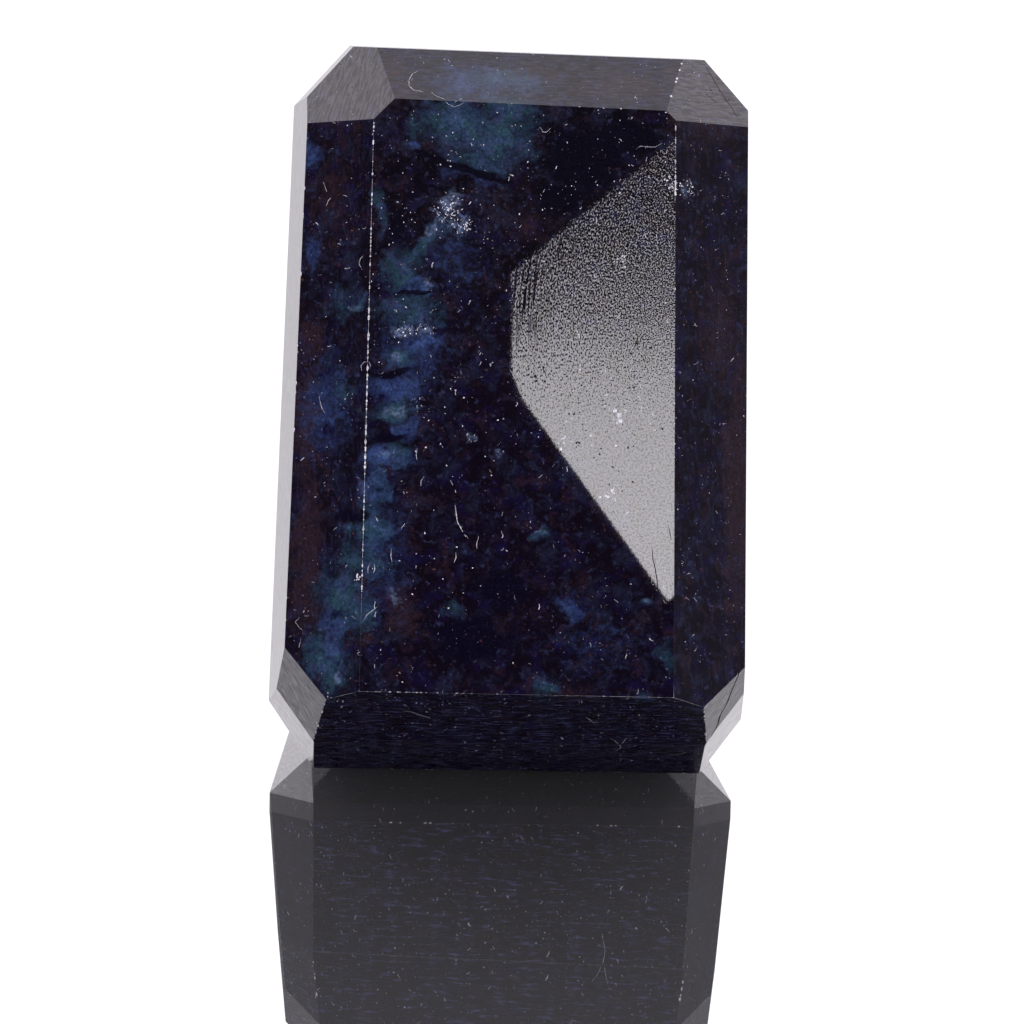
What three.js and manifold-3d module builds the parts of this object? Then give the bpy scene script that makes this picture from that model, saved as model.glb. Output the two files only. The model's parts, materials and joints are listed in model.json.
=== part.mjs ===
// A large step-cut sapphire: one solid stone with a table, a two-step crown, a narrow girdle
// band and a blunt pavilion that ends in a small culet. Cut by hand, so no two facets match.
// It lies on the pavilion facet at its foot end, which tips the table towards the viewer.

import * as THREE from 'three';
import { mergeVertices } from 'three/addons/utils/BufferGeometryUtils.js';
import Module from 'manifold-3d';

// Sizes are in millimetres and angles in degrees.

// Depths of the stone, measured square to the table.
const CROWN_DEPTH = 30;
const GIRDLE_BAND = 2;
const PAVILION_DEPTH = 20;

// Slopes of the pavilion, measured from the girdle plane.
const FOOT_SLOPE = 41;
const HEAD_SLOPE = 41;
const FLANK_SLOPE = 45;
const CORNER_SLOPE = 60;

// The rough block that the facets are ground from, and the lap that grinds them.
const ROUGH_WIDTH = 70;
const ROUGH_LENGTH = 110;
const LAP_SIZE = 200;

const STONE_COLOR = 0x14172c;
const STONE_ROUGHNESS = 0.22;

const UPRIGHT = 90;
const HALF_TURN = 180;

// Each facet faces a compass direction, seen from above the table: 0 is the right flank, 90 the
// head, 180 the left flank and 270 the foot. Its slope is measured from the table. The reach of
// an upper facet is how far from the middle of the stone it would cut the table's plane.
const UPPER_CROWN = {
  rightFlank: { compass: 0.5, slope: 38.5, reach: 16.3 },
  headRightCorner: { compass: 43.5, slope: 46.5, reach: 33.3 },
  head: { compass: 88.5, slope: 44, reach: 32.85 },
  headLeftCorner: { compass: 135.5, slope: 46, reach: 32 },
  leftFlank: { compass: 179.5, slope: 37, reach: 14.6 },
  footLeftCorner: { compass: 212, slope: 75, reach: 29.1 },
  foot: { compass: 269.7, slope: 71.5, reach: 26.4 },
  footRightCorner: { compass: 323, slope: 74, reach: 31.5 },
};

// The reach of a lower facet is measured at the girdle, which it shares with the pavilion facet
// below it. That one slopes back under it by its own slope.
const LOWER_CROWN = {
  rightFlank: { compass: 0.3, slope: 86.2, reach: 25.6, under: FLANK_SLOPE },
  headRightCorner: { compass: 41.4, slope: 83, reach: 43, under: CORNER_SLOPE },
  head: { compass: 88.9, slope: 81, reach: 42.75, under: HEAD_SLOPE },
  headLeftCorner: { compass: 138.6, slope: 83, reach: 41.3, under: CORNER_SLOPE },
  leftFlank: { compass: 178.6, slope: 85.5, reach: 23.8, under: FLANK_SLOPE },
  footLeftCorner: { compass: 214.5, slope: 83.5, reach: 35.5, under: CORNER_SLOPE },
  foot: { compass: 270, slope: 79.5, reach: 34.15, under: FOOT_SLOPE },
  footRightCorner: { compass: 323, slope: 82, reach: 37.6, under: CORNER_SLOPE },
};

const wasm = await Module();
wasm.setup();

function toSolid(geometry) {
  const bare = geometry.clone();
  bare.deleteAttribute('normal');
  bare.deleteAttribute('uv');
  const merged = mergeVertices(bare);
  return new wasm.Manifold(new wasm.Mesh({
    numProp: 3,
    vertProperties: new Float32Array(merged.attributes.position.array),
    triVerts: new Uint32Array(merged.index.array),
  }));
}

function toGeometry(solid) {
  const mesh = solid.getMesh();
  const indexed = new THREE.BufferGeometry();
  indexed.setAttribute('position', new THREE.BufferAttribute(mesh.vertProperties, 3));
  indexed.setIndex(new THREE.BufferAttribute(mesh.triVerts, 1));
  const flat = indexed.toNonIndexed();
  flat.computeVertexNormals();
  return flat;
}

// The block from the table, at height 0, down to the culet.
function roughBlock() {
  const depth = CROWN_DEPTH + GIRDLE_BAND + PAVILION_DEPTH;
  const block = new THREE.BoxGeometry(ROUGH_WIDTH, ROUGH_LENGTH, depth);
  block.translate(0, 0, -depth / 2);
  return toSolid(block);
}

// Everything outside one facet, as a block whose inner face lies on the facet.
function lap(compass, slope, reach, level) {
  const facing = THREE.MathUtils.degToRad(compass);
  const block = new THREE.BoxGeometry(LAP_SIZE, LAP_SIZE, LAP_SIZE);
  block.translate(0, 0, LAP_SIZE / 2);
  block.rotateY(THREE.MathUtils.degToRad(slope));
  block.rotateZ(facing);
  block.translate(reach * Math.cos(facing), reach * Math.sin(facing), level);
  return toSolid(block);
}

function cutStone() {
  const girdleTop = -CROWN_DEPTH;
  const girdleFoot = girdleTop - GIRDLE_BAND;
  let stone = roughBlock();
  for (const { compass, slope, reach } of Object.values(UPPER_CROWN)) {
    stone = stone.subtract(lap(compass, slope, reach, 0));
  }
  for (const { compass, slope, reach, under } of Object.values(LOWER_CROWN)) {
    stone = stone.subtract(lap(compass, slope, reach, girdleTop));
    stone = stone.subtract(lap(compass, UPRIGHT, reach, girdleTop));
    stone = stone.subtract(lap(compass, HALF_TURN - under, reach, girdleFoot));
  }
  return toGeometry(stone);
}

// Leaning the stone by the slope of its foot facet lays that facet flat on the ground. The
// origin is then under the middle of the stone, at the level that it rests on.
function sapphire() {
  const material = new THREE.MeshStandardMaterial({
    color: STONE_COLOR,
    roughness: STONE_ROUGHNESS,
    metalness: 0,
  });
  const mesh = new THREE.Mesh(cutStone(), material);
  mesh.name = 'sapphire';
  mesh.rotation.x = THREE.MathUtils.degToRad(FOOT_SLOPE);
  mesh.updateMatrixWorld(true);
  const box = new THREE.Box3().setFromObject(mesh, true);
  const middle = box.getCenter(new THREE.Vector3());
  mesh.position.set(-middle.x, -middle.y, -box.min.z);
  return mesh;
}

const group = new THREE.Group();
group.add(sapphire());

export default group;
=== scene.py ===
"""A large step-cut sapphire on a polished pale floor, in front of a white backdrop, under one softbox."""
import json
import math
import random

import bpy
from mathutils import Matrix, Quaternion, Vector

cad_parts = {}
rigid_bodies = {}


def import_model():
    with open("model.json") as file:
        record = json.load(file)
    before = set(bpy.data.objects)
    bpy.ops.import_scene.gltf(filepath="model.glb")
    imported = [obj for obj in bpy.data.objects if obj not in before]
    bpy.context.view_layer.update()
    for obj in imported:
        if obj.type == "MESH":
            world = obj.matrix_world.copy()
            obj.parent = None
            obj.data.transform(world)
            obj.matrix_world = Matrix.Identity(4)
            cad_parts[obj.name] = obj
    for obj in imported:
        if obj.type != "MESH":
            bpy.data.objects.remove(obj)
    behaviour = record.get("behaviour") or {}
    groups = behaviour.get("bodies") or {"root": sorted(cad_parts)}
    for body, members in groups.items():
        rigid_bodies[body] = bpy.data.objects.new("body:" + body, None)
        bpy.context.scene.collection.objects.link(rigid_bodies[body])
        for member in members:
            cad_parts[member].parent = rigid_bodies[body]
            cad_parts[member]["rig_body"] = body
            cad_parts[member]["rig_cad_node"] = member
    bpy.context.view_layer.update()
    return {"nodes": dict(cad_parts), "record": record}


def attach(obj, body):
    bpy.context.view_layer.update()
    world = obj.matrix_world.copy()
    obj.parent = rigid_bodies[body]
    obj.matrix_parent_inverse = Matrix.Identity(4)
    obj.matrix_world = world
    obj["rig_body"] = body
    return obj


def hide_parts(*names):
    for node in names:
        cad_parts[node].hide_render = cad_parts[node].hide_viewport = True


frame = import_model()

MM = 0.001
SEED = 41

# The stone's own axes: across the table, along it towards the head end, and out of it.
mounts = {mount["name"]: mount for mount in frame["record"]["mounts"]}
TABLE_POINT = Vector(mounts["table"]["pos_m"])
TABLE_NORMAL = Vector(mounts["table"]["axis"])
LEAN = math.atan2(-TABLE_NORMAL.y, TABLE_NORMAL.z)
STONE_AXES = Matrix.Translation(TABLE_POINT) @ Matrix.Rotation(LEAN, 4, "X")

# The view. Pixels are those of the photograph, 1024 by 1024, from its upper left corner.
PICTURE_SIZE = 1024
SENSOR_WIDTH = 36.0
FOCAL_PX = 4514
AIM_PX = (512, 430)
VIEW_DISTANCE = 0.4514
VIEW_AZIMUTH = math.radians(-2.51)
VIEW_ELEVATION = math.radians(45)
VIEW_ROLL = math.radians(2.74)

# The floor: white under clear glass. The white lies this far down, as seen through the glass, which
# is just clear of the stone. The last number is the share of the white that shines.
GLASS_DEPTH = 2.9 * MM
GLASS_GAP = 0.02 * MM
FLOOR_SIZE = 4.0
FLOOR_SHINE = 0.95

# The softbox, by the corners of its reflection in the table, and its glow at its two ends.
SOFTBOX_PX = ((512, 272), (512, 372), (522, 398), (668, 601), (790, 500), (790, 46))
SOFTBOX_DISTANCE = 0.25
SOFTBOX_TOP_PX = (650, 140)
SOFTBOX_TIP_PX = (668, 601)
TOP_GLOW = 4.4
TIP_GLOW = 6.2

random_source = random.Random(SEED)


def deselect():
    bpy.ops.object.select_all(action="DESELECT")


def activate(piece):
    deselect()
    piece.select_set(True)
    bpy.context.view_layer.objects.active = piece


def apply_modifier(piece, kind, name, **settings):
    activate(piece)
    modifier = piece.modifiers.new(name, kind)
    for key, value in settings.items():
        setattr(modifier, key, value)
    bpy.ops.object.modifier_apply(modifier=name)


def make_camera():
    away = Vector((
        math.sin(VIEW_AZIMUTH) * math.cos(VIEW_ELEVATION),
        -math.cos(VIEW_AZIMUTH) * math.cos(VIEW_ELEVATION),
        math.sin(VIEW_ELEVATION),
    ))
    lens = bpy.data.cameras.new("view")
    lens.sensor_width = SENSOR_WIDTH
    lens.lens = FOCAL_PX / PICTURE_SIZE * SENSOR_WIDTH
    lens.shift_y = (AIM_PX[1] - PICTURE_SIZE / 2) / PICTURE_SIZE
    camera = bpy.data.objects.new("view", lens)
    bpy.context.scene.collection.objects.link(camera)
    camera.rotation_mode = "QUATERNION"
    camera.location = TABLE_POINT + away * VIEW_DISTANCE
    camera.rotation_quaternion = (-away).to_track_quat("-Z", "Y") @ Quaternion((0, 0, 1), VIEW_ROLL)
    bpy.context.scene.camera = camera
    bpy.context.view_layer.update()
    return camera


camera = make_camera()


def sight(pixel):
    """The eye, and the direction in which it sees a pixel of the photograph."""
    across = (pixel[0] - AIM_PX[0]) / FOCAL_PX
    down = (pixel[1] - AIM_PX[1]) / FOCAL_PX
    way = camera.matrix_world.to_3x3() @ Vector((across, -down, -1))
    return camera.matrix_world.translation, way.normalized()


def seen_on_table(pixel):
    """Where a pixel of the photograph falls on the plane of the table."""
    eye, way = sight(pixel)
    return eye + way * ((TABLE_POINT - eye).dot(TABLE_NORMAL) / way.dot(TABLE_NORMAL))


def on_table(pixel):
    """A pixel's place on the table, in the stone's own axes, in millimetres."""
    return STONE_AXES.inverted() @ seen_on_table(pixel) / MM


# Facets

# The rows of facets, each with the steepest slope from the table that its facets have.
ROWS = (("table", 20), ("upper", 77.5), ("lower", 88), ("girdle", 92), ("pavilion", 175), ("culet", 181))
SIDES = ("right", "head right", "head", "head left", "left", "foot left", "foot", "foot right")


def facet_of(normal):
    """The name of the facet that faces along a normal, such as upper left or lower foot."""
    own = STONE_AXES.to_3x3().inverted() @ normal
    slope = math.degrees(math.acos(max(-1.0, min(1.0, own.z))))
    row = next(name for name, steepest in ROWS if slope < steepest)
    if row in ("table", "culet"):
        return row
    compass = math.degrees(math.atan2(own.y, own.x)) % 360
    return row + " " + SIDES[round(compass / 45) % 8]


# Damage. The width of each rounded edge, in millimetres: the common one, and those worn more.
EDGE_WIDTH = 0.13
WORN_EDGES = {
    ("table", "upper left"): 0.2,
    ("table", "upper right"): 0.12,
    ("table", "upper foot"): 0.2,
    ("upper foot", "lower foot"): 0.8,
    ("upper foot", "upper foot left"): 0.5,
    ("upper foot", "upper foot right"): 0.25,
    ("lower foot", "girdle foot"): 0.3,
}
WORN_CORNERS = {
    ("head", "head right"): 1.7,
    ("head", "head left"): 0.7,
    ("foot", "foot right"): 0.9,
    ("foot", "foot left"): 0.6,
    ("left", "foot left"): 0.9,
    ("right", "foot right"): 0.4,
}
ROUND_STEPS = 3

# Chipped edges: the two facets, where the chips begin and end along the edge from its head or left
# end, how many there are, and their smallest and largest half size in millimetres.
CHIPPED_EDGES = (
    ("table", "upper left", 0.0, 0.35, 34, 0.06, 0.12),
    ("table", "upper left", 0.33, 0.62, 44, 0.07, 0.16),
    ("table", "upper left", 0.6, 0.83, 24, 0.06, 0.13),
    ("table", "upper right", 0.01, 0.07, 12, 0.05, 0.1),
    ("table", "upper right", 0.07, 0.13, 14, 0.08, 0.18),
    ("table", "upper right", 0.16, 0.6, 6, 0.05, 0.09),
    ("table", "upper foot", 0.0, 0.25, 14, 0.05, 0.1),
    ("table", "upper foot", 0.25, 1.0, 10, 0.05, 0.09),
    ("table", "upper head", 0.0, 1.0, 4, 0.05, 0.08),
    ("upper foot", "upper foot right", 0.0, 1.0, 9, 0.1, 0.2),
    ("upper foot", "upper foot left", 0.0, 1.0, 7, 0.08, 0.16),
    ("upper left", "lower left", 0.0, 1.0, 12, 0.08, 0.16),
    ("upper head", "upper head right", 0.0, 1.0, 6, 0.08, 0.18),
    ("lower foot", "girdle foot", 0.0, 1.0, 9, 0.05, 0.12),
    ("lower left", "girdle left", 0.1, 0.35, 10, 0.05, 0.15),
    ("lower left", "girdle left", 0.5, 1.0, 8, 0.05, 0.12),
    ("lower right", "girdle right", 0.15, 0.3, 9, 0.05, 0.17),
    ("lower right", "girdle right", 0.3, 0.95, 8, 0.05, 0.12),
    ("lower head", "girdle head", 0.0, 1.0, 9, 0.05, 0.13),
)

# Groups of pits: the middle of each, how far it spreads in pixels, how many pits it has, their
# largest half size in millimetres, and whether they are bruised white or dark inside.
PITS = {
    "cluster low in the glare": ((608, 496), 9, 9, 0.2, "bruise"),
    "white patch at the glare's edge": ((565, 444), 7, 12, 0.16, "bruise"),
    "large white pits in the glare": ((619, 416), 8, 9, 0.24, "bruise"),
    "small white pits in the glare": ((600, 400), 60, 26, 0.11, "bruise"),
    "small dark pits in the glare": ((600, 440), 75, 36, 0.11, "dark"),
    "dark pits at the left of the glare": ((538, 374), 10, 11, 0.16, "dark"),
    "dark pits beside the star crack": ((643, 350), 14, 14, 0.13, "dark"),
    "dark pits at the glare's left edge": ((577, 446), 6, 6, 0.14, "dark"),
    "pale patch high in the glare": ((623, 262), 8, 16, 0.1, "bruise"),
    "pale spot left of it": ((595, 278), 3, 5, 0.1, "bruise"),
    "frosted spot": ((450, 208), 11, 14, 0.09, "bruise"),
    "frosted tail": ((464, 227), 6, 8, 0.09, "bruise"),
    "frosted streak": ((402, 332), 12, 8, 0.09, "bruise"),
    "bruise on the right edge": ((683, 186), 11, 22, 0.1, "bruise"),
    "bruise beside it on the table": ((670, 182), 6, 12, 0.1, "bruise"),
    "spots low on the table": ((430, 560), 60, 16, 0.08, "bruise"),
    "spots in the middle of the table": ((470, 420), 60, 18, 0.08, "bruise"),
    "spots high on the table": ((440, 170), 60, 14, 0.08, "bruise"),
    "spots on the upper left facet": ((330, 360), 50, 12, 0.08, "bruise"),
    "spots on the upper foot facet": ((480, 722), 90, 10, 0.08, "bruise"),
    "dark pits on the right foot corner": ((722, 712), 20, 20, 0.08, "dark"),
    "dark pits on the left foot corner": ((300, 705), 22, 20, 0.08, "dark"),
    "dark pits on the right head corner": ((715, 95), 20, 12, 0.09, "dark"),
    "dark pits on the left head corner": ((350, 78), 20, 12, 0.08, "dark"),
    "dark pits down the left side, upper": ((296, 250), 12, 12, 0.06, "dark"),
    "dark pits down the left side, middle": ((290, 400), 14, 16, 0.07, "dark"),
    "dark pits down the left side, lower": ((284, 560), 14, 16, 0.07, "dark"),
    "knot at the end of the left edge": ((357, 577), 4, 9, 0.11, "bruise"),
    "left end of the table's foot edge": ((334, 696), 7, 8, 0.09, "bruise"),
}

# Cracks and scratches, each by its points in the photograph, with its width in millimetres.
CRACKS = {
    "crack through the right foot corner": (
        0.3, (742, 666), (738, 676), (732, 690), (726, 705), (720, 716), (718, 724), (711, 737), (704, 746)),
    "crack across the right head corner": (
        0.13, (706, 67), (713, 79), (722, 94), (731, 107), (739, 120)),
    "short crack on the right head corner": (0.1, (706, 94), (711, 98), (717, 103)),
    "crack low on the table": (0.1, (652, 548), (653, 560), (656, 573), (658, 588), (662, 605)),
    "crack beside the right edge": (0.1, (668, 524), (670, 533), (671, 541)),
    "star crack, down": (0.13, (638, 334), (637, 341), (638, 350)),
    "star crack, left": (0.1, (631, 337), (634, 340), (638, 344)),
    "star crack, right": (0.1, (645, 335), (641, 339), (638, 344)),
}
FAINT_SCRATCHES = {
    "line on the lower foot facet": (0.06, (699, 747), (690, 749), (676, 752), (658, 753), (646, 754)),
    "line that goes on from it": (0.05, (632, 756), (619, 758), (606, 762), (596, 764), (580, 768)),
    "scratch on the upper right facet": (0.05, (682, 275), (679, 280), (676, 286)),
    "line down the upper right facet": (
        0.04, (724, 244), (726, 262), (725, 276), (721, 292), (719, 312), (718, 340), (719, 353), (723, 371)),
}
SCRATCHES = {
    "forked curl, left": (0.05, (610, 738), (615, 741), (620, 745), (621, 748), (616, 751)),
    "forked curl, right": (0.05, (627, 738), (624, 741), (621, 745)),
    "curl on the upper foot facet": (0.05, (586, 717), (590, 720), (594, 723), (598, 722)),
    "curl left of the middle": (0.05, (404, 711), (412, 712), (419, 715), (430, 718)),
    "bent line high on the table": (0.05, (636, 149), (641, 146), (648, 147), (655, 147), (662, 143)),
    "hook on the head facet": (0.05, (418, 71), (412, 74), (409, 80), (409, 86), (414, 90), (424, 92)),
    "curl over the head edge": (
        0.05, (431, 92), (437, 96), (444, 99), (448, 104), (454, 107), (460, 105), (467, 101)),
    "small cup high on the table": (0.07, (540, 127), (543, 132), (547, 132), (551, 128)),
    "half ring on the upper left facet": (0.07, (363, 256), (360, 259), (359, 264), (362, 270)),
    "ring on the left edge": (0.06, (362, 371), (361, 366), (364, 362), (369, 362), (371, 367)),
    "bend on the upper left facet": (0.06, (319, 396), (320, 402), (322, 408), (325, 413)),
    "tick on the upper left facet": (0.06, (323, 182), (325, 187), (327, 192)),
    "second tick there": (0.06, (331, 197), (328, 201), (326, 206)),
    "curl low on the upper left facet": (0.05, (300, 617), (295, 622), (298, 626), (302, 630)),
    "line that goes on from it": (0.06, (304, 616), (309, 616)),
    "tick under it": (0.06, (301, 638), (300, 643), (299, 648)),
    "scratch beside the left edge": (0.05, (363, 621), (367, 615), (373, 610), (378, 606)),
    "long curved scratch": (0.09, (455, 505), (456, 514), (458, 523), (463, 532)),
    "scratch left of the middle": (0.07, (417, 449), (416, 455), (417, 460)),
    "scratch below it": (0.07, (424, 476), (421, 481), (421, 486)),
    "broken scratch": (0.07, (479, 536), (477, 543), (477, 549)),
    "left of two ticks": (0.08, (370, 563), (368, 568), (368, 573)),
    "right of two ticks": (0.08, (374, 564), (375, 569), (373, 573)),
    "double tick": (0.07, (391, 549), (391, 556), (392, 562)),
    "tick beside it": (0.07, (456, 552), (456, 558), (454, 563)),
}
# Each line is drawn in steps of this many pixels, and strays from its points by this many.
LINE_STEP_PX = 4
LINE_WOBBLE_PX = 0.25
LINE_WELD = 0.002 * MM


class Recipe:
    """Builds a material's nodes. An input takes a number, a colour, a vector or another node's output."""

    def __init__(self, name, tree=None):
        if tree is None:
            self.material = bpy.data.materials.new(name)
            self.material.use_nodes = True
            tree = self.material.node_tree
        self.tree = tree
        tree.nodes.clear()

    def add(self, kind, inputs=None, **settings):
        node = self.tree.nodes.new("ShaderNode" + kind)
        for key, value in settings.items():
            setattr(node, key, value)
        for key, value in (inputs or {}).items():
            self.plug(node.inputs[key], value)
        return node

    def plug(self, socket, value):
        if isinstance(value, bpy.types.NodeSocket):
            self.tree.links.new(value, socket)
        else:
            socket.default_value = value

    def math(self, operation, first, second=0.0):
        return self.add("Math", {0: first, 1: second}, operation=operation).outputs[0]

    def times(self, first, second):
        return self.math("MULTIPLY", first, second)

    def plus(self, first, second):
        return self.math("ADD", first, second)

    def most(self, first, second):
        return self.math("MAXIMUM", first, second)

    def ramp(self, value, low, high, start=0.0, end=1.0, smooth=True):
        kind = "SMOOTHSTEP" if smooth else "LINEAR"
        inputs = {"Value": value, "From Min": low, "From Max": high, "To Min": start, "To Max": end}
        return self.add("MapRange", inputs, interpolation_type=kind).outputs[0]

    def mix(self, share, first, second, blend="MIX"):
        node = self.add("Mix", data_type="RGBA", blend_type=blend)
        self.plug(node.inputs[0], share)
        self.plug(node.inputs[6], first)
        self.plug(node.inputs[7], second)
        return node.outputs[2]

    def grey(self, value):
        return self.add("CombineColor", {0: value, 1: value, 2: value}).outputs[0]

    def vector(self, operation, first, second):
        return self.add("VectorMath", {0: first, 1: second}, operation=operation).outputs[0]

    def shift(self, vector, size, start):
        """A vector made larger or smaller by each of three sizes, and then moved."""
        return self.add("VectorMath", {0: vector, 1: size, 2: start}, operation="MULTIPLY_ADD").outputs[0]

    def move(self, vector, place=(0, 0, 0), turn=(0, 0, 0), size=(1, 1, 1)):
        inputs = {"Vector": vector, "Location": place, "Rotation": turn, "Scale": size}
        return self.add("Mapping", inputs).outputs[0]

    def noise(self, vector, scale, detail=2.0, rough=0.5, output=0):
        inputs = {"Vector": vector, "Scale": scale, "Detail": detail, "Roughness": rough}
        return self.add("TexNoise", inputs).outputs[output]

    def stone(self, body, roughness, others=None):
        """The shader of all that is stone, in one colour and roughness."""
        inputs = {"Base Color": body, "IOR": STONE_IOR, "Roughness": roughness, **(others or {})}
        return self.add("BsdfPrincipled", inputs).outputs[0]

    def surface(self, shader):
        output = self.add("OutputMaterial")
        self.tree.links.new(shader, output.inputs["Surface"])
        return self.material


def colour(red, green, blue):
    """A colour as it looks on screen, 0 to 255, for a shader."""
    def linear(value):
        share = value / 255
        return share / 12.92 if share <= 0.04045 else ((share + 0.055) / 1.055) ** 2.4
    return (linear(red), linear(green), linear(blue), 1.0)


# The colours of the stone's body, of what is drawn on it, and of its damage.
NEAR_BLACK = colour(9, 2, 16)
DEEP_VIOLET = colour(18, 11, 52)
DARK_SLATE = colour(29, 33, 56)
PLUM = colour(42, 26, 38)
DUSTY_BLUE = colour(52, 60, 94)
CLOUD_BROWN = colour(46, 31, 39)
DARK_BLUE = colour(13, 8, 48)
BRIGHT_BLUE = colour(63, 86, 138)
DARK_TEAL = colour(12, 20, 46)
GREEN_TEAL = colour(50, 84, 98)
BLUE_TEAL = colour(60, 80, 116)
CLOUD_PALE = colour(104, 120, 152)
VEIN_BLACK = colour(4, 2, 22)
RUST = colour(96, 58, 44)
STREAK_BLUE = colour(70, 76, 118)
CHALK = colour(226, 226, 236)
WORN_WHITE = colour(238, 236, 242)
BRUISE_LIGHT = colour(246, 245, 250)
BRUISE_DARK = colour(160, 160, 172)
CRACK_LIGHT = colour(24, 22, 30)
CRACK_DARK = colour(5, 4, 9)

STONE_IOR = 1.77
POLISHED_ROUGHNESS = 0.015
GROUND_ROUGHNESS = 0.6
GROUND_SHINE = 0.04
BROKEN_ROUGHNESS = 0.5

# How deep the lapping and the grain of broken stone look, in metres.
LAPPING_RELIEF = 0.0000035
BROKEN_RELIEF = 0.00003


def stone_coordinates(recipe):
    """Object coordinates turned into the stone's own axes, in millimetres."""
    to_stone = STONE_AXES.inverted()
    place = to_stone.translation / MM
    coordinates = recipe.add("TexCoord").outputs["Object"]
    return recipe.move(coordinates, place, (-LEAN, 0, 0), (1 / MM,) * 3)


# Clouds in the stone: place in the photograph, half sizes across and along the stone in mm, turn in
# degrees, and strength. Each reaches some way into the stone.
TEAL_CLOUDS = (
    ((462, 125), (4.4, 2.2), -5, 0.85),
    ((500, 140), (3.4, 2.6), 0, 0.8),
    ((478, 158), (3.6, 1.4), -10, 0.7),
    ((512, 112), (2.6, 1.6), 0, 0.8),
    ((379, 212), (0.7, 2.6), 0, 0.6),
    ((420, 247), (2.8, 1.0), 40, 0.95),
    ((436, 228), (1.2, 0.9), 40, 0.8),
    ((404, 268), (1.8, 2.0), 0, 0.8),
    ((408, 308), (3.6, 1.6), 0, 0.6),
    ((398, 355), (1.4, 1.1), 0, 0.9),
    ((395, 410), (2.2, 1.0), 10, 0.9),
    ((398, 452), (1.4, 1.2), 0, 0.7),
    ((376, 480), (1.2, 2.0), 0, 0.6),
    ((372, 520), (1.4, 2.4), 8, 0.8),
    ((351, 531), (0.7, 0.8), 0, 0.9),
    ((365, 562), (2.2, 2.0), 0, 0.7),
    ((345, 600), (2.4, 3.2), 25, 0.85),
    ((326, 662), (1.9, 3.0), 30, 0.9),
    ((347, 390), (0.9, 1.0), 0, 0.7),
    ((356, 306), (0.8, 0.8), 0, 0.7),
    ((342, 298), (1.8, 1.6), 0, 0.4),
    ((645, 601), (0.6, 0.5), 0, 0.9),
    ((547, 688), (1.6, 1.0), 0, 0.6),
    ((645, 694), (0.8, 0.6), 0, 0.8),
    ((665, 655), (0.8, 1.8), 0, 0.5),
    ((540, 532), (0.9, 0.8), 0, 0.6),
    ((452, 612), (0.8, 1.0), 0, 0.35),
    ((505, 80), (3.6, 1.8), 0, 0.5),
)
BLUE_CLOUDS = (
    ((413, 145), (1.0, 0.7), 0, 0.5),
    ((455, 174), (2.0, 0.6), -10, 0.35),
    ((482, 181), (2.2, 0.6), -10, 0.3),
    ((412, 287), (1.8, 0.6), 5, 0.9),
    ((425, 340), (1.8, 1.2), 0, 0.8),
    ((392, 388), (2.2, 1.4), 0, 0.9),
    ((405, 427), (1.4, 0.8), 0, 0.8),
    ((388, 455), (2.2, 1.0), 0, 1.0),
    ((374, 485), (1.2, 2.2), 5, 0.9),
    ((375, 530), (1.4, 2.4), 10, 0.7),
    ((338, 620), (2.0, 1.4), 20, 0.7),
    ((335, 650), (1.8, 1.6), 0, 0.5),
    ((410, 345), (4.0, 6.0), 0, 0.35),
    ((385, 560), (3.0, 8.0), 0, 0.3),
    ((455, 255), (4.0, 5.0), 0, 0.25),
    ((570, 608), (1.1, 1.4), 0, 0.5),
    ((600, 640), (6.0, 4.0), 0, 0.15),
    ((310, 145), (0.8, 1.6), 0, 0.25),
    ((312, 250), (1.0, 1.6), 0, 0.25),
    ((335, 415), (0.8, 0.6), 0, 0.5),
    ((330, 400), (2.6, 6.0), 0, 0.25),
    ((470, 80), (5.0, 2.0), 0, 0.3),
)
PALE_CLOUDS = (
    ((450, 204), (1.0, 1.2), -20, 0.7),
    ((447, 214), (1.8, 2.0), -20, 0.3),
    ((461, 226), (0.6, 1.0), 0, 0.5),
    ((424, 330), (1.0, 0.4), 10, 0.6),
    ((402, 330), (1.2, 0.5), 10, 0.7),
    ((430, 231), (1.2, 0.5), 40, 0.5),
    ((397, 355), (0.5, 0.5), 0, 0.6),
    ((397, 411), (1.5, 0.5), 10, 0.5),
    ((385, 453), (1.0, 0.5), 0, 0.4),
    ((427, 284), (0.6, 0.6), 0, 0.5),
    ((471, 438), (0.5, 0.5), 0, 0.5),
    ((499, 452), (0.4, 0.5), 0, 0.3),
    ((397, 598), (0.5, 1.0), 10, 0.4),
    ((338, 677), (0.25, 0.8), 0, 0.5),
    ((355, 307), (0.5, 0.5), 0, 0.4),
    ((540, 530), (0.5, 0.4), 0, 0.4),
    ((646, 600), (0.4, 0.3), 0, 0.2),
    ((688, 190), (0.6, 1.0), 0, 0.3),
)
BROWN_CLOUDS = (
    ((305, 560), (1.4, 9.0), 0, 0.8),
    ((305, 420), (1.2, 8.0), 0, 0.6),
    ((312, 335), (1.2, 2.0), 0, 0.7),
    ((335, 200), (2.8, 6.0), 0, 0.2),
    ((402, 615), (1.8, 2.6), 20, 0.7),
    ((368, 640), (0.8, 1.6), 0, 0.6),
    ((415, 500), (2.4, 3.0), 0, 0.25),
    ((500, 215), (3.0, 3.0), 0, 0.3),
    ((540, 215), (3.0, 3.0), 0, 0.3),
    ((742, 480), (1.6, 14.0), 0, 0.6),
    ((720, 330), (2.4, 6.0), 0, 0.3),
    ((545, 615), (1.6, 1.0), 0, 0.25),
    ((520, 70), (4.0, 1.2), 0, 0.6),
    ((402, 93), (1.4, 0.8), 0, 0.8),
    ((625, 84), (4.0, 1.5), 0, 0.6),
    ((565, 690), (3.0, 1.0), 0, 0.5),
    ((350, 85), (5.0, 4.0), 0, 0.7),
    ((710, 95), (4.0, 4.0), 0, 0.7),
)
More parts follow.
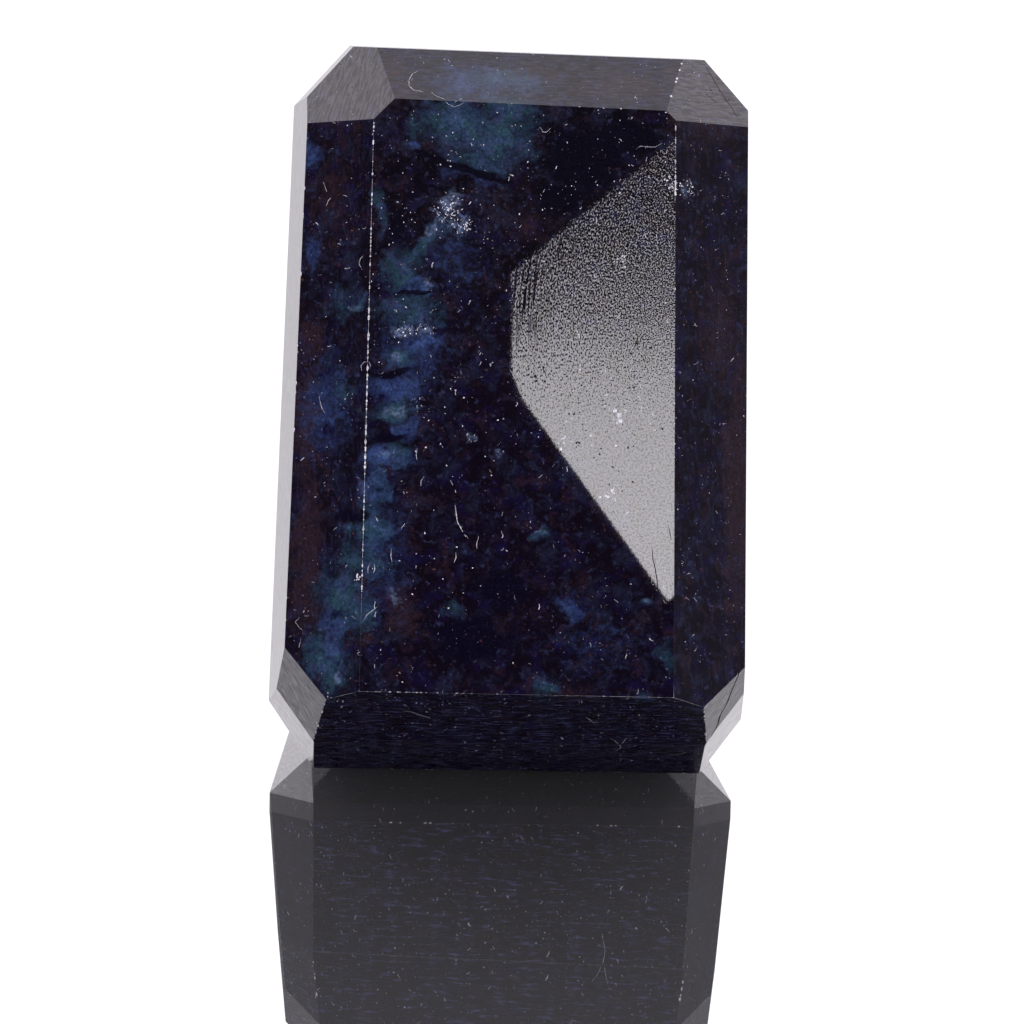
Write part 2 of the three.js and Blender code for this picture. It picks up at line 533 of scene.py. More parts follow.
DARK_VEINS = (
    ((430, 157), (1.5, 0.25), -20, 1.0),
    ((448, 164), (1.5, 0.3), -20, 1.0),
    ((466, 170), (1.5, 0.35), -10, 1.0),
    ((484, 174), (1.5, 0.35), -10, 1.0),
    ((500, 180), (1.2, 0.25), -10, 1.0),
    ((433, 187), (1.7, 0.18), 0, 0.9),
    ((400, 225), (0.8, 1.6), -20, 0.8),
    ((414, 292), (1.8, 0.2), 0, 0.9),
    ((392, 372), (2.0, 0.4), 10, 0.7),
    ((388, 437), (1.8, 0.4), 10, 0.8),
    ((352, 515), (1.8, 0.6), 0, 0.6),
    ((585, 160), (3.6, 3.0), 0, 0.8),
    ((625, 135), (3.0, 1.6), 0, 0.8),
    ((560, 200), (2.6, 1.8), 0, 0.6),
    ((470, 640), (4.0, 2.2), 0, 0.6),
    ((500, 590), (3.0, 2.0), 0, 0.5),
)
WORN_PLACES = (
    ((369, 215), (0.9, 9.0), 0, 0.6),
    ((365, 400), (1.2, 12.0), 0, 1.0),
    ((359, 540), (0.9, 6.5), 0, 0.8),
    ((676, 181), (1.2, 1.5), 0, 1.0),
    ((673, 150), (0.8, 2.4), 0, 0.4),
    ((350, 697), (4.0, 0.8), 0, 0.5),
    ((530, 697), (16.0, 0.7), 0, 0.25),
    ((620, 697), (5.0, 0.7), 0, 0.5),
    ((687, 702), (2.4, 1.2), -18, 0.8),
)
HAIRLINES = (
    ((526, 285), (2.6, 6.5), 0, 1.0),
    ((566, 248), (1.2, 2.4), 0, 1.0),
)
FROSTED_PLACES = (
    ((448, 208), (1.3, 1.3), 0, 0.9),
    ((461, 224), (1.0, 1.0), 0, 0.8),
    ((404, 331), (1.2, 0.4), 0, 0.6),
    ((424, 330), (1.1, 0.5), 0, 0.8),
    ((471, 438), (0.6, 0.5), 0, 0.8),
    ((500, 451), (0.4, 0.5), 0, 0.7),
    ((418, 402), (0.6, 0.6), 0, 0.8),
    ((455, 374), (0.6, 0.7), 0, 0.8),
    ((688, 190), (0.7, 1.2), 0, 0.8),
)
CLOUD_DEPTH = 14.0
CLOUD_EDGE = 1.5

# The table was lapped in arcs about a point beyond its right edge, this far from its middle in mm.
ARCS_MIDDLE_PX = (850, 325)
ARCS_REACH = 26.0


def clouds(recipe, vector, spots, rough=0.0, depth=CLOUD_DEPTH):
    """How far a point lies inside any of the clouds, from 0 to 1. A rough edge comes from a noise."""
    turned = {0: vector}
    nearest = None
    for pixel, (across, along), turn, strength in spots:
        if turn not in turned:
            turned[turn] = recipe.move(vector, turn=(0, 0, -math.radians(turn)))
        middle = Matrix.Rotation(-math.radians(turn), 3, "Z") @ on_table(pixel)
        size = (across * CLOUD_EDGE, along * CLOUD_EDGE, depth)
        # A weaker cloud has its middle beside the stone's surface, out of reach.
        aside = (0, 0, 1 - strength)
        start = Vector(apart - here / half for here, half, apart in zip(middle, size, aside))
        inside = recipe.shift(turned[turn], tuple(1 / half for half in size), start)
        away = recipe.add("VectorMath", {0: inside}, operation="LENGTH").outputs["Value"]
        nearest = away if nearest is None else recipe.math("MINIMUM", nearest, away)
    return recipe.ramp(recipe.plus(nearest, rough), 1.0, 0.2)


def body_colour(recipe, place):
    """The mottled body of the stone: near black, with clouds of teal, blue, pale and brown."""
    wander = recipe.vector("SUBTRACT", recipe.noise(place, 0.4, 2.0, 0.6, output=1), (0.5, 0.5, 0.5))
    bent = recipe.shift(wander, (4.0, 4.0, 4.0), place)
    slightly = recipe.shift(wander, (1.5, 1.5, 1.5), place)

    tints = recipe.add("SeparateColor", {0: recipe.noise(bent, 0.5, 3.0, 0.6, output=1)}).outputs
    spots = recipe.noise(place, 1.2, 3.0, 0.6)
    fine = recipe.noise(place, 3.2, 2.0, 0.6)
    rough = recipe.times(recipe.math("SUBTRACT", spots, 0.5), 1.6)
    mottle = recipe.plus(recipe.times(tints[1], 0.5), recipe.times(spots, 0.5))

    body = recipe.mix(recipe.ramp(tints[0], 0.46, 0.74, 0.0, 0.8), NEAR_BLACK, DEEP_VIOLET)
    body = recipe.mix(recipe.ramp(tints[1], 0.46, 0.76, 0.0, 0.85), body, DARK_SLATE)
    body = recipe.mix(recipe.ramp(tints[2], 0.5, 0.76, 0.0, 0.7), body, PLUM)
    body = recipe.mix(recipe.ramp(spots, 0.56, 0.76, 0.0, 0.55), body, DUSTY_BLUE)
    brown = clouds(recipe, bent, BROWN_CLOUDS, rough)
    body = recipe.mix(recipe.times(brown, 0.7), body, CLOUD_BROWN)

    blue = recipe.mix(recipe.ramp(mottle, 0.36, 0.64, smooth=False), DARK_BLUE, BRIGHT_BLUE)
    body = recipe.mix(clouds(recipe, bent, BLUE_CLOUDS, rough), body, blue)
    green = recipe.mix(recipe.ramp(tints[2], 0.4, 0.6), GREEN_TEAL, BLUE_TEAL)
    teal = recipe.mix(recipe.ramp(mottle, 0.34, 0.66, smooth=False), DARK_TEAL, green)
    body = recipe.mix(clouds(recipe, bent, TEAL_CLOUDS, rough), body, teal)
    pale = recipe.times(clouds(recipe, slightly, PALE_CLOUDS, rough), recipe.ramp(fine, 0.36, 0.6, 0.4, 1.0))
    body = recipe.mix(recipe.times(pale, 0.75), body, CLOUD_PALE)
    dark = recipe.ramp(clouds(recipe, slightly, DARK_VEINS, recipe.times(rough, 0.3)), 0.0, 0.5)
    body = recipe.mix(recipe.times(dark, 0.92), body, VEIN_BLACK)
    return recipe.mix(1.0, body, recipe.grey(recipe.ramp(fine, 0.3, 0.7, 0.65, 1.3)), "MULTIPLY")


def specks(recipe, flat, scale, share, radius):
    """Small spots scattered on the face's own map: in a share of its cells, mostly faint."""
    cell = recipe.add("TexVoronoi", {"Vector": flat, "Scale": scale}, voronoi_dimensions="2D")
    parts = recipe.add("SeparateColor", {0: cell.outputs["Color"]})
    chosen = recipe.math("LESS_THAN", parts.outputs[0], share)
    size = recipe.times(recipe.plus(parts.outputs[1], 0.4), radius * scale)
    near = recipe.ramp(cell.outputs["Distance"], recipe.times(size, 0.4), size, 1.0, 0.0)
    return recipe.times(recipe.times(chosen, near), recipe.times(parts.outputs[2], parts.outputs[2]))


def strokes(recipe, curved, scale, share, length, width, spread):
    """Short strokes on a curved map of the face, within an angle of straight up the face."""
    cell = recipe.add("TexVoronoi", {"Vector": curved, "Scale": scale}, voronoi_dimensions="2D")
    parts = recipe.add("SeparateColor", {0: cell.outputs["Color"]})
    away = recipe.vector("SUBTRACT", curved, cell.outputs["Position"])
    angle = recipe.times(recipe.math("SUBTRACT", parts.outputs[1], 0.5), 2 * spread)
    turned = recipe.add("VectorRotate", {"Vector": away, "Angle": angle}, rotation_type="Z_AXIS").outputs[0]
    split = recipe.add("SeparateXYZ", {0: turned})
    across = recipe.math("ABSOLUTE", split.outputs[0])
    along = recipe.math("ABSOLUTE", split.outputs[1])
    line = recipe.ramp(across, width * 0.4, width, 1.0, 0.0)
    ends = recipe.math("LESS_THAN", along, recipe.times(parts.outputs[2], length))
    chosen = recipe.math("LESS_THAN", parts.outputs[0], share)
    return recipe.times(recipe.times(line, ends), recipe.times(chosen, parts.outputs[2]))


def white_marks(recipe, place, flat, coarse):
    """The white specks and ticks that cover the stone, crowded in some places."""
    crowd = recipe.ramp(recipe.noise(place, 0.5, 2.0), 0.42, 0.66, 0.0, 1.0)
    wave = recipe.noise(flat, 1.6, 1.0, output=1)
    curved = recipe.shift(wave, (0.6, 0.6, 0.6), flat)
    dots = recipe.times(specks(recipe, curved, 1.3, 0.24, 0.075), crowd)
    crowd_of_fine = recipe.plus(recipe.times(recipe.plus(crowd, coarse), 0.4), 0.15)
    fine_dots = recipe.times(specks(recipe, curved, 2.3, 0.24, 0.055), crowd_of_fine)
    ticks = recipe.times(strokes(recipe, curved, 0.8, 0.24, 0.3, 0.035, 0.9), crowd)
    frosted = clouds(recipe, place, FROSTED_PLACES)
    frost = recipe.times(strokes(recipe, curved, 3.2, 0.6, 0.14, 0.045, 1.5), frosted)
    return recipe.most(recipe.most(dots, fine_dots), recipe.most(ticks, frost))


def lapping_arcs(recipe, place):
    """The table's own map, in millimetres: out from the middle of its lapping arcs, and round it."""
    away = recipe.vector("SUBTRACT", tuple(on_table(ARCS_MIDDLE_PX)), place)
    split = recipe.add("SeparateXYZ", {0: away})
    out = recipe.add("VectorMath", {0: away}, operation="LENGTH").outputs["Value"]
    turn = recipe.math("ARCTAN2", split.outputs[1], split.outputs[0])
    return recipe.add("CombineXYZ", {0: out, 1: recipe.times(turn, ARCS_REACH)}).outputs[0]


def worn_polish(recipe, place):
    """How far the table's polish is worn off in grains: hardly at the foot, more and more to the head."""
    arcs = lapping_arcs(recipe, place)
    row = recipe.add("SeparateXYZ", {0: place}).outputs[1]
    least = recipe.ramp(row, -4.0, 12.0, 0.73, 0.475, smooth=False)
    least = recipe.math("SUBTRACT", least, recipe.ramp(row, 12.0, 24.0, 0.0, 0.08, smooth=False))
    grain = recipe.noise(recipe.shift(arcs, (7.5, 4.6, 1.0), (0, 0, 0)), 1.0, 1.0)
    worn = recipe.ramp(grain, recipe.plus(least, -0.08), recipe.plus(least, 0.08))
    hairs = recipe.noise(recipe.shift(arcs, (4.2, 0.25, 1.0), (0, 0, 0)), 1.0, 1.0)
    hairs = recipe.times(recipe.ramp(hairs, 0.46, 0.56), clouds(recipe, place, HAIRLINES))
    haze = recipe.ramp(recipe.noise(place, 5.0, 1.0), 0.4, 0.74, 0.0, 0.4)
    return recipe.most(recipe.most(worn, hairs), haze)


def polished_face():
    """The polished facets: mottled colour, tiny marks, lapping strokes and dull, worn grains."""
    recipe = Recipe("polished sapphire")
    place = stone_coordinates(recipe)
    flat = recipe.add("UVMap", uv_map="grinding").outputs[0]
    coarse = recipe.add("Attribute", attribute_name="coarse").outputs["Fac"]
    table = recipe.add("Attribute", attribute_name="table").outputs["Fac"]
    body = body_colour(recipe, place)
    rusty = recipe.ramp(recipe.noise(place, 2.4, 1.0), 0.64, 0.78, 0.0, 0.5)
    rusty = recipe.times(rusty, recipe.ramp(recipe.noise(place, 0.4, 1.0), 0.5, 0.66))
    body = recipe.mix(rusty, body, RUST)
    stroke = recipe.noise(recipe.shift(flat, (0.6, 3.8, 1.0), (0, 0, 0)), 1.0, 2.0, 0.65)
    band = recipe.noise(recipe.shift(flat, (0.4, 2.2, 1.0), (0, 0, 0)), 1.0, 3.0, 0.7)
    streak = recipe.times(recipe.ramp(band, 0.53, 0.68), coarse)
    body = recipe.mix(recipe.times(streak, 0.75), body, STREAK_BLUE)

    row = recipe.add("SeparateXYZ", {0: place}).outputs[1]
    ripple = recipe.times(recipe.noise(flat, 3.4, 1.0), recipe.ramp(row, -8.0, 26.0, 0.03, 0.1))
    height = recipe.plus(ripple, recipe.times(stroke, recipe.times(coarse, 6.0)))
    bump = recipe.add("Bump", {"Height": height, "Distance": LAPPING_RELIEF, "Strength": 1.0})
    polished = recipe.stone(body, POLISHED_ROUGHNESS, {"Normal": bump.outputs[0]})

    white = white_marks(recipe, place, flat, coarse)
    chalky = recipe.mix(recipe.ramp(white, 0.0, 0.3), body, CHALK)
    ground = recipe.stone(chalky, GROUND_ROUGHNESS, {"Specular IOR Level": GROUND_SHINE})
    grooves = recipe.times(recipe.ramp(stroke, 0.62, 0.38, 0.0, 0.7), coarse)
    share = recipe.most(recipe.times(worn_polish(recipe, place), table), recipe.most(white, grooves))
    return recipe.surface(recipe.add("MixShader", {0: share, 1: polished, 2: ground}).outputs[0])


def worn_edge():
    """The rounded edges: duller, and bruised white in places."""
    recipe = Recipe("worn edge")
    place = stone_coordinates(recipe)
    broken = recipe.noise(place, 3.0, 3.0, 0.7)
    bruised = recipe.plus(clouds(recipe, place, WORN_PLACES, depth=3.0), 0.06)
    white = recipe.times(recipe.ramp(broken, 0.36, 0.52), bruised)
    body = recipe.mix(white, body_colour(recipe, place), WORN_WHITE)
    return recipe.surface(recipe.stone(body, recipe.ramp(white, 0.0, 0.6, 0.15, 0.6)))


def broken_stone(name, light, dark):
    """The inside of a chip, a pit or a crack: rough, in one of two tones."""
    recipe = Recipe(name)
    place = stone_coordinates(recipe)
    tone = recipe.ramp(recipe.noise(place, 4.0, 3.0, 0.7), 0.38, 0.6)
    body = recipe.mix(tone, dark, light)
    grain = recipe.noise(place, 8.0)
    bump = recipe.add("Bump", {"Height": grain, "Distance": BROKEN_RELIEF, "Strength": 1.0})
    return recipe.surface(recipe.stone(body, BROKEN_ROUGHNESS, {"Normal": bump.outputs[0]}))


# The stone

POLISH, EDGE, BRUISE, CRACK = range(4)
INSIDES = {"bruise": BRUISE, "dark": CRACK}
SAME_PLACE = 0.02 * MM
SAME_PLANE = math.radians(0.5)


def copy_solid():
    """The stone's solid as one closed mesh with each facet one face, and a piece of its own."""
    solid = frame["nodes"]["sapphire"]
    activate(solid)
    bpy.ops.object.duplicate()
    stone = bpy.context.view_layer.objects.active
    stone.name = "faceted_stone"
    stone.parent = None
    # A duplicate also carries the marks that make the solid a node of the model.
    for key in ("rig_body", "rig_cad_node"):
        if key in stone:
            del stone[key]
    activate(stone)
    bpy.ops.object.mode_set(mode="EDIT")
    bpy.ops.mesh.select_all(action="SELECT")
    bpy.ops.mesh.remove_doubles(threshold=SAME_PLACE)
    bpy.ops.mesh.dissolve_limited(angle_limit=SAME_PLANE)
    bpy.ops.mesh.normals_make_consistent(inside=False)
    bpy.ops.object.mode_set(mode="OBJECT")
    return stone


def facet_edges(stone):
    """Each edge of the stone by the names of its two facets: its ends, and the way it points out."""
    mesh = stone.data
    beside = {}
    for face in mesh.polygons:
        for key in face.edge_keys:
            beside.setdefault(key, []).append(face.normal)
    from_head = STONE_AXES.to_3x3() @ Vector((1, -3, 0))
    edges = {}
    for key, normals in beside.items():
        ends = sorted((mesh.vertices[index].co.copy() for index in key), key=lambda end: end.dot(from_head))
        names = tuple(sorted(facet_of(normal) for normal in normals))
        edges[names] = (ends[0], ends[1], (normals[0] + normals[1]).normalized())
    return edges


def edge_width(names):
    """How wide the rounding between two facets is, in millimetres."""
    for pair, width in WORN_EDGES.items():
        if set(pair) == set(names):
            return width
    first, second = (name.split(" ", 1) for name in names)
    if len(first) == 2 and len(second) == 2 and first[0] == second[0] and first[0] in ("lower", "girdle"):
        for pair, width in WORN_CORNERS.items():
            if set(pair) == {first[1], second[1]}:
                return width
    return EDGE_WIDTH


def round_edges(stone):
    mesh = stone.data
    beside = {}
    for face in mesh.polygons:
        for key in face.edge_keys:
            beside.setdefault(key, []).append(facet_of(face.normal))
    weights = mesh.attributes.new("bevel_weight_edge", "FLOAT", "EDGE")
    widest = max(WORN_CORNERS.values())
    for edge in mesh.edges:
        weights.data[edge.index].value = edge_width(beside[edge.key]) / widest
    apply_modifier(
        stone, "BEVEL", "round edges", width=widest * MM, segments=ROUND_STEPS,
        limit_method="WEIGHT", material=EDGE,
    )


FLAKE_KINDS = 4
FLAKE_ROUGHNESS = 0.2

# How far the middle of a chip or a pit stands out of the stone, and a pit's depth, in half sizes.
CHIP_LIFT = 0.45
PIT_LIFT = 0.25
PIT_DEPTH = 0.7


def make_flakes():
    """Rough lumps, a little over a unit in radius, that chips and pits are cut with."""
    flakes = []
    for kind in range(FLAKE_KINDS):
        deselect()
        bpy.ops.mesh.primitive_ico_sphere_add(subdivisions=1 + kind % 2, radius=1.0)
        flake = bpy.context.view_layer.objects.active
        bpy.ops.object.mode_set(mode="EDIT")
        bpy.ops.mesh.select_all(action="SELECT")
        bpy.ops.transform.vertex_random(offset=FLAKE_ROUGHNESS, uniform=0.0, normal=0.0, seed=SEED + kind)
        bpy.ops.object.mode_set(mode="OBJECT")
        flakes.append(flake)
    return flakes


def lay_flake(cuts, point, outward, along, sizes, inside):
    """Notes one cut: its place, its turn and its three half sizes in millimetres."""
    across = outward.cross(along).normalized()
    turned = Matrix((along, across, outward)).transposed().to_4x4()
    place = Matrix.Translation(point) @ turned @ Matrix.Diagonal((*(size * MM for size in sizes), 1.0))
    cuts.append((place, max(sizes) * MM * (1 + FLAKE_ROUGHNESS), inside))


def chip_edges(edges, cuts):
    for first, second, start, end, count, small, large in CHIPPED_EDGES:
        head, foot, outward = edges[tuple(sorted((first, second)))]
        along = (foot - head).normalized()
        for _ in range(count):
            share = random_source.uniform(start, end)
            half = random_source.uniform(small, large)
            point = head.lerp(foot, share) + outward * half * CHIP_LIFT * MM
            sizes = (half * random_source.uniform(1.0, 2.2), half * random_source.uniform(0.8, 1.3), half)
            lay_flake(cuts, point, outward, along, sizes, BRUISE)


def pit_facets(solid, cuts):
    eye = sight(AIM_PX)[0]
    for middle, spread, count, largest, inside in PITS.values():
        for _ in range(count):
            away = spread * math.sqrt(random_source.random())
            angle = random_source.uniform(0, math.tau)
            pixel = (middle[0] + away * math.cos(angle), middle[1] + away * math.sin(angle))
            half = largest * random_source.uniform(0.4, 1.0)
            turn = random_source.uniform(0, math.tau)
            stretch = random_source.uniform(0.8, 1.8)
            hit, point, normal = solid.ray_cast(eye, sight(pixel)[1])[:3]
            if hit:
                along = Quaternion(normal, turn) @ normal.orthogonal().normalized()
                lifted = point + normal * half * PIT_LIFT * MM
                sizes = (half * stretch, half, half * PIT_DEPTH)
                lay_flake(cuts, lifted, normal, along, sizes, INSIDES[inside])


def cut_away(stone, cutter):
    apply_modifier(stone, "BOOLEAN", "cut", operation="DIFFERENCE", solver="MANIFOLD", object=cutter)
    bpy.data.objects.remove(cutter)


def lie_clear(cut, other):
    """Whether two cuts are too far apart to meet."""
    return (cut[0].translation - other[0].translation).length > cut[1] + other[1]


def cut_flakes(stone, cuts):
    """Cuts all flakes out of the stone, in rounds whose flakes lie clear of each other."""
    rounds = []
    for cut in cuts:
        for members in rounds:
            if all(lie_clear(cut, other) for other in members):
                members.append(cut)
                break
        else:
            rounds.append([cut])
    flakes = make_flakes()
    for members in rounds:
        deselect()
        for number, (place, _, inside) in enumerate(members):
            flake = flakes[number % FLAKE_KINDS].copy()
            flake.data = flake.data.copy()
            flake.matrix_world = place
            bpy.context.scene.collection.objects.link(flake)
            for material in stone.data.materials:
                flake.data.materials.append(material)
            for face in flake.data.polygons:
                face.material_index = inside
            flake.select_set(True)
            bpy.context.view_layer.objects.active = flake
        bpy.ops.object.join()
        cut_away(stone, bpy.context.view_layer.objects.active)
    for flake in flakes:
        bpy.data.objects.remove(flake)


def cut_line(stone, solid, width, pixels, inside):
    """Cuts a narrow groove along a line drawn on the stone, thinner towards its ends."""
    eye = sight(AIM_PX)[0]
    points = []
    for here, there in zip(pixels, pixels[1:]):
        steps = max(2, round(math.dist(here, there) / LINE_STEP_PX))
        for step in range(steps):
            pixel = []
            for start, end in zip(here, there):
                wobble = random_source.uniform(-1, 1) * LINE_WOBBLE_PX
                pixel.append(start + (end - start) * (step / steps) + wobble)
            points.append(pixel)
    points.append(pixels[-1])
    hits = [solid.ray_cast(eye, sight(pixel)[1]) for pixel in points]
    places = [point for hit, point, *_ in hits if hit]
    curve = bpy.data.curves.new("groove", "CURVE")
    curve.dimensions = "3D"
    curve.bevel_depth = width * MM / 2
    curve.bevel_resolution = 0
    curve.use_fill_caps = True
    line = curve.splines.new("POLY")
    line.points.add(len(places) - 1)
    for number, (point, place) in enumerate(zip(line.points, places)):
        point.co = (*place, 1.0)
        near_end = min(number, len(places) - 1 - number)
        point.radius = min(1.0, 0.4 + 0.3 * near_end) * random_source.uniform(0.75, 1.2)
    groove = bpy.data.objects.new("groove", curve)
    bpy.context.scene.collection.objects.link(groove)
    activate(groove)
    bpy.ops.object.convert(target="MESH")
    groove = bpy.context.view_layer.objects.active
    groove.data.materials.clear()
    for material in stone.data.materials:
        groove.data.materials.append(material)
    for face in groove.data.polygons:
        face.material_index = inside
    bpy.ops.object.mode_set(mode="EDIT")
    bpy.ops.mesh.select_all(action="SELECT")
    bpy.ops.mesh.remove_doubles(threshold=LINE_WELD)
    bpy.ops.mesh.normals_make_consistent(inside=False)
    bpy.ops.object.mode_set(mode="OBJECT")
    cut_away(stone, groove)


def drop_crumbs(stone):
    """Deletes the crumbs that the cuts have left loose beside the stone."""
    activate(stone)
    bpy.ops.object.mode_set(mode="EDIT")
    bpy.ops.mesh.select_all(action="DESELECT")
    bpy.ops.object.mode_set(mode="OBJECT")
    widest = max(stone.data.polygons, key=lambda face: face.area)
    for corner in widest.vertices:
        stone.data.vertices[corner].select = True
    bpy.ops.object.mode_set(mode="EDIT")
    bpy.ops.mesh.select_linked(delimit=set())
    bpy.ops.mesh.select_all(action="INVERT")
    bpy.ops.mesh.delete(type="VERT")
    bpy.ops.object.mode_set(mode="OBJECT")


# How a facet was lapped: the angle of its strokes from level, in degrees, and how coarse they are.
LAPPING = {
    "table": (0, 0.0),
    "upper foot": (1, 0.8),
    "lower foot": (1, 1.0),
    "upper foot left": (6, 0.8),
    "lower foot left": (4, 0.35),
    "upper foot right": (3, 0.5),
    "lower foot right": (3, 0.35),
    "lower left": (1, 0.2),
    "upper head": (2, 0.35),
    "upper head left": (40, 0.5),
    "upper head right": (60, 0.5),
}
PLAIN_LAPPING = (5, 0.15)
PAVILION_LAPPING = (4, 0.3)

# A face that slopes less from the table than this, as a sine, has strokes straight across.
NO_SLOPE = 0.02


def map_faces(stone):
    """Gives each face a flat map in millimetres along its lapping, and notes how coarse that is."""
    mesh = stone.data
    layer = mesh.uv_layers.new(name="grinding")
    coarse = mesh.attributes.new("coarse", "FLOAT", "FACE")
    table = mesh.attributes.new("table", "FLOAT", "FACE")
    for face in mesh.polygons:
        facet = facet_of(face.normal)
        plain = PAVILION_LAPPING if facet.startswith("pavilion") else PLAIN_LAPPING
        angle, share = LAPPING.get(facet, plain)
        coarse.data[face.index].value = share
        table.data[face.index].value = 1.0 if facet == "table" else 0.0
        level = TABLE_NORMAL.cross(face.normal)
        if level.length < NO_SLOPE:
            level = Vector((1, 0, 0))
        level.normalize()
        rise = face.normal.cross(level)
        turn = math.radians(angle)
        strokes_way = level * math.cos(turn) + rise * math.sin(turn)
        aside = face.normal.cross(strokes_way)
        for corner in face.loop_indices:
            point = mesh.vertices[mesh.loops[corner].vertex_index].co / MM
            layer.data[corner].uv = (point.dot(strokes_way), point.dot(aside))


def make_stone():
    solid = frame["nodes"]["sapphire"]
    stone = copy_solid()
    stone.data.materials.clear()
    bruise = broken_stone("bruised stone", BRUISE_LIGHT, BRUISE_DARK)
    crack = broken_stone("cracked stone", CRACK_LIGHT, CRACK_DARK)
    for material in (polished_face(), worn_edge(), bruise, crack):
        stone.data.materials.append(material)
    for face in stone.data.polygons:
        face.material_index = POLISH
        face.use_smooth = False
    edges = facet_edges(stone)
    round_edges(stone)
    cuts = []
    chip_edges(edges, cuts)
    pit_facets(solid, cuts)
    cut_flakes(stone, cuts)
    for lines, inside in ((CRACKS, CRACK), (FAINT_SCRATCHES, EDGE), (SCRATCHES, BRUISE)):
        for width, *pixels in lines.values():
            cut_line(stone, solid, width, pixels, inside)
    drop_crumbs(stone)
    map_faces(stone)
    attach(stone, "root")
    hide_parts("sapphire")


# The studio

MATT_WHITE = (0.92, 0.92, 0.92, 1)
SHINY_WHITE = (0.96, 0.96, 0.96, 1)
GLASS_IOR = 1.5
SOFTBOX_WHITE = (1.0, 0.965, 1.0, 1)
STUDIO_WHITE = (1.01, 0.975, 1.035, 1)

# How bright the white backdrop is, as the stone reflects it: low down, high up and straight above.
BACKDROP_LOW = 1.8
BACKDROP_HIGH = 0.78
BACKDROP_TOP = 0.25
BACKDROP_RIGHT_SHARE = 0.74
ROOM_GLOW = 0.025
ROOM_RIGHT_GLOW = 0.1
ROOM_LEFT_GLOW = 0.035

# The soft light that falls on the scene, from the room and from the backdrop, and the plain white.
ROOM_LIGHT = 0.95
BACKDROP_LIGHT = 1.3
PLAIN_WHITE = 1.2


def white_floor():
    """The white of the floor, polished: most of it shines and the rest is matt."""
    recipe = Recipe("polished white")
    matt = recipe.add("BsdfDiffuse", {"Color": MATT_WHITE}).outputs[0]
    shine = recipe.add("BsdfAnisotropic", {"Color": SHINY_WHITE, "Roughness": 0.0}).outputs[0]
    # The stone's facets see only the shine, because the white under them would turn them grey.
    from_stone = recipe.add("LightPath").outputs["Is Glossy Ray"]
    share = recipe.ramp(from_stone, 0.0, 1.0, FLOOR_SHINE, 1.0, smooth=False)
    return recipe.surface(recipe.add("MixShader", {0: share, 1: matt, 2: shine}).outputs[0])


def glass_top():
    """The clear glass over the floor: seen through, with its own weak reflection from above."""
    recipe = Recipe("floor glass")
    clear = recipe.add("BsdfTransparent").outputs[0]
    shine = recipe.add("BsdfAnisotropic", {"Roughness": 0.0}).outputs[0]
    from_above = recipe.math("SUBTRACT", 1.0, recipe.add("NewGeometry").outputs["Backfacing"])
    share = recipe.times(recipe.add("Fresnel", {"IOR": GLASS_IOR}).outputs[0], from_above)
    return recipe.surface(recipe.add("MixShader", {0: share, 1: clear, 2: shine}).outputs[0])


def lay_sheet(name, height, material):
    bpy.ops.mesh.primitive_plane_add(size=FLOOR_SIZE, location=(0, 0, height))
    sheet = bpy.context.view_layer.objects.active
    sheet.name = name
    bpy.ops.object.transform_apply(location=True, rotation=True, scale=True)
    sheet.data.materials.append(material)


def on_softbox(pixel):
    """Where the table's reflection at a pixel meets the softbox."""
    return seen_on_table(pixel) + sight(pixel)[1].reflect(TABLE_NORMAL) * SOFTBOX_DISTANCE


def hang_softbox():
    """A softbox hung where its reflection fills the right of the table, brighter towards one end."""
    corners = [on_softbox(pixel) for pixel in SOFTBOX_PX]
    mesh = bpy.data.meshes.new("softbox")
    mesh.from_pydata(corners, [], [tuple(range(len(corners)))])
    softbox = bpy.data.objects.new("softbox", mesh)
    bpy.context.scene.collection.objects.link(softbox)
    recipe = Recipe("softbox cloth")
    top = on_softbox(SOFTBOX_TOP_PX)
    run = on_softbox(SOFTBOX_TIP_PX) - top
    coordinates = recipe.vector("SUBTRACT", recipe.add("TexCoord").outputs["Object"], top)
    share = recipe.add("VectorMath", {0: coordinates, 1: run / run.length_squared}, operation="DOT_PRODUCT")
    strength = recipe.ramp(share.outputs["Value"], 0.0, 1.0, TOP_GLOW, TIP_GLOW, smooth=False)
    glow = recipe.add("Emission", {"Color": SOFTBOX_WHITE, "Strength": strength})
    mesh.materials.append(recipe.surface(glow.outputs[0]))
    softbox.visible_camera = False


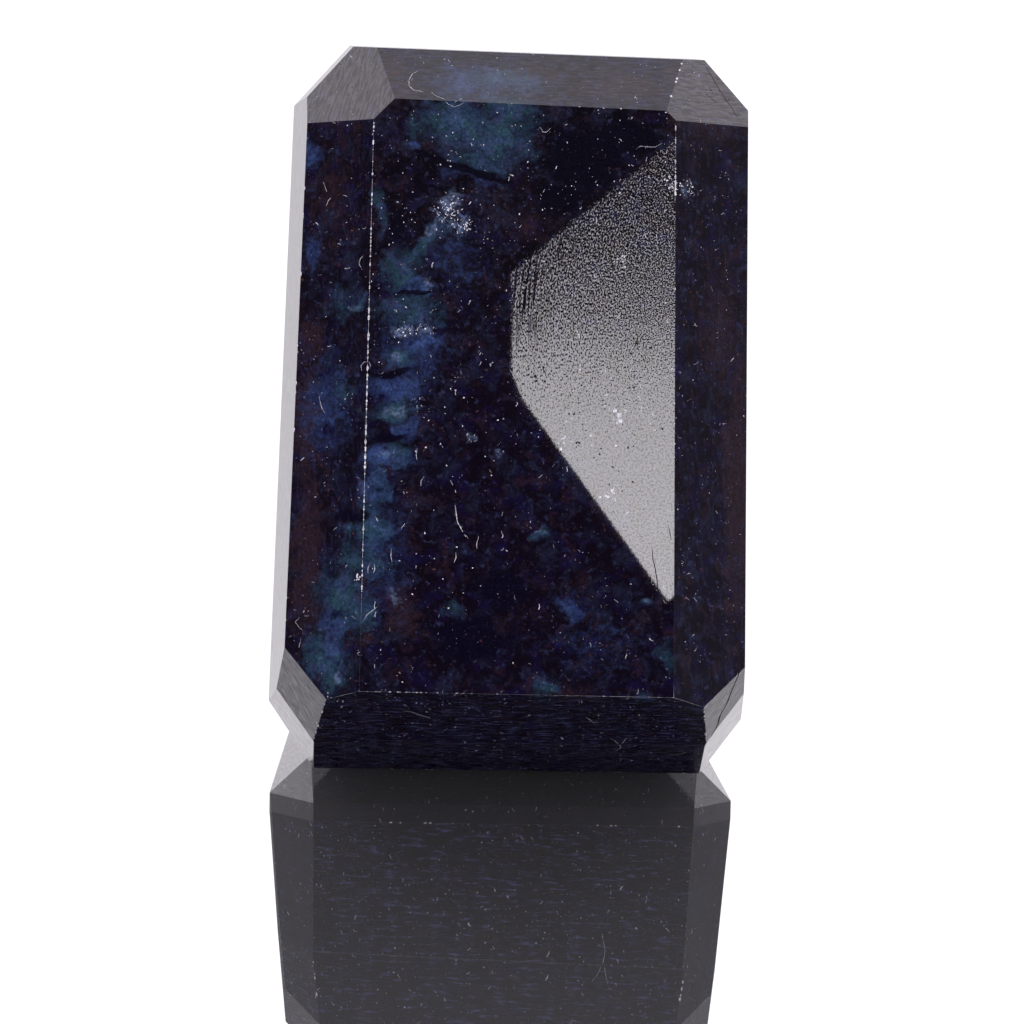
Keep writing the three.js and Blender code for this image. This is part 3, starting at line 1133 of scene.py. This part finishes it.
def light_backdrop():
    """White behind the stone and all round the floor, and a dark room behind the viewer."""
    world = bpy.data.worlds.new("studio")
    bpy.context.scene.world = world
    world.use_nodes = True
    recipe = Recipe("studio", world.node_tree)
    split = recipe.add("SeparateXYZ", {0: recipe.add("TexCoord").outputs["Generated"]})
    right, back, up = split.outputs
    behind = recipe.ramp(back, 0.0, 0.6)
    high = recipe.ramp(up, 0.3, 0.6, BACKDROP_LOW, BACKDROP_HIGH)
    high = recipe.plus(high, recipe.ramp(up, 0.7, 0.8, 0.0, BACKDROP_TOP))
    aside = recipe.ramp(right, 0.45, 0.7, 1.0, BACKDROP_RIGHT_SHARE)
    dim_right = recipe.ramp(right, 0.2, 0.9, ROOM_GLOW, ROOM_RIGHT_GLOW)
    dim_left = recipe.ramp(right, -0.2, -0.9, ROOM_GLOW, ROOM_LEFT_GLOW)
    dim = recipe.most(dim_right, dim_left)
    seen = recipe.plus(recipe.times(recipe.times(behind, high), aside), dim)
    soft_light = recipe.ramp(back, -0.6, 0.4, ROOM_LIGHT, BACKDROP_LIGHT)

    path = recipe.add("LightPath")
    light = recipe.add("Mix", {0: path.outputs["Is Glossy Ray"], 2: soft_light, 3: seen}, data_type="FLOAT")
    # Light that met only the floor has come two steps of its path; by way of the stone it is more.
    short = recipe.math("LESS_THAN", path.outputs["Ray Depth"], 2.5)
    off_floor = recipe.times(path.outputs["Is Singular Ray"], short)
    plain = recipe.most(path.outputs["Is Camera Ray"], off_floor)
    strength = recipe.add("Mix", {0: plain, 2: light.outputs[0], 3: PLAIN_WHITE}, data_type="FLOAT")
    background = recipe.add("Background", {"Color": STUDIO_WHITE, "Strength": strength.outputs[0]})
    output = recipe.add("OutputWorld")
    world.node_tree.links.new(background.outputs[0], output.inputs["Surface"])


make_stone()
lay_sheet("floor_white", -GLASS_DEPTH, white_floor())
lay_sheet("floor_glass", -GLASS_GAP, glass_top())
bpy.data.objects["floor_glass"].visible_shadow = False
hang_softbox()
light_backdrop()
bpy.context.scene.view_settings.view_transform = "Standard"
